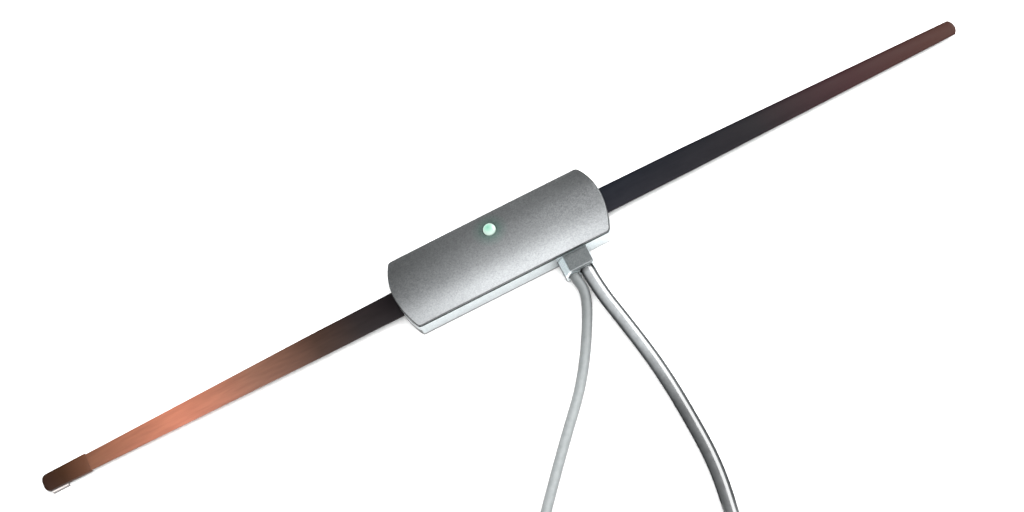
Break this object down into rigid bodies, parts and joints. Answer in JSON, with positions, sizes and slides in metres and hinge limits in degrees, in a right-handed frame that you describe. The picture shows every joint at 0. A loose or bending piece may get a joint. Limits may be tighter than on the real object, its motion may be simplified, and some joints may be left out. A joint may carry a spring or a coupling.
{
  "type": "car radio antenna",
  "caption": "Flat amplified car radio antenna for a windscreen: crowned silver housing with an indicator lamp, tapered dark blades at its ends, coiled aerial and power leads with plugs.",
  "frame": {"origin": "middle of the adhesive pad's face on the glass", "axes": "+X along the blades towards the bare tip, +Y away from the leads' exit, +Z away from the glass"},
  "size_m": [0.37, 0.2426, 0.0236],
  "materials": {
    "cover_paint": "silver flake paint, satin",
    "tray_plastic": "light grey moulded plastic",
    "lamp_lens": "clear mint-green lens",
    "blade_coating": "glossy dark bronze coating on sheet steel",
    "tip_cap": "dark brown soft sleeve",
    "adhesive_pad": "pale adhesive foam",
    "aerial_jacket": "glossy grey cable jacket",
    "power_jacket": "satin light grey cable jacket",
    "strap": "dark plastic strap",
    "board_laminate": "green board laminate",
    "tinned_wire": "tinned wire",
    "screw_steel": "bright plated steel",
    "component_black": "black moulded case",
    "capacitor_sleeve": "dark blue shrink sleeve",
    "ceramic": "ochre ceramic coating",
    "resistor_lacquer": "beige lacquer",
    "ferrite": "dark ferrite",
    "winding_wire": "enamelled wire",
    "lead_insulation": "white inner insulation",
    "lead_copper": "bare copper",
    "core_insulation": "red core insulation",
    "plug_grip": "black moulded grip",
    "plug_metal": "nickel plated",
    "terminal_sleeve": "red insulating sleeve",
    "terminal_brass": "bright brass"
  },
  "bodies": {
    "root": {"top_cover": "cover_paint", "base_tray": "tray_plastic", "status_led": "lamp_lens", "left_blade": "blade_coating", "right_blade": "blade_coating", "left_tip_cap": "tip_cap", "left_tip_pad": "adhesive_pad", "mounting_pad": "adhesive_pad", "aerial_lead": "aerial_jacket", "aerial_lead_coil": "aerial_jacket", "aerial_lead_tail": "aerial_jacket", "power_lead": "power_jacket", "power_lead_coil": "power_jacket", "power_lead_tail": "power_jacket", "aerial_lead_tie": "strap", "power_lead_tie": "strap", "circuit_board": "board_laminate", "led_pins": "tinned_wire", "blade_screws": "screw_steel", "cover_screws": "screw_steel", "transistors": "component_black", "electrolytic_capacitors": "capacitor_sleeve", "ceramic_capacitors": "ceramic", "resistors": "resistor_lacquer", "choke_cores": "ferrite", "choke_windings": "winding_wire", "aerial_lead_dielectric": "lead_insulation", "aerial_lead_conductor": "lead_copper", "power_lead_cores": "core_insulation", "aerial_plug_grip": "plug_grip", "aerial_plug_barrel": "plug_metal", "aerial_plug_pin": "plug_metal", "aerial_plug_insulator": "lead_insulation", "power_terminal_sleeve": "terminal_sleeve", "power_terminal_pin": "terminal_brass"}
  },
  "joints": []
}
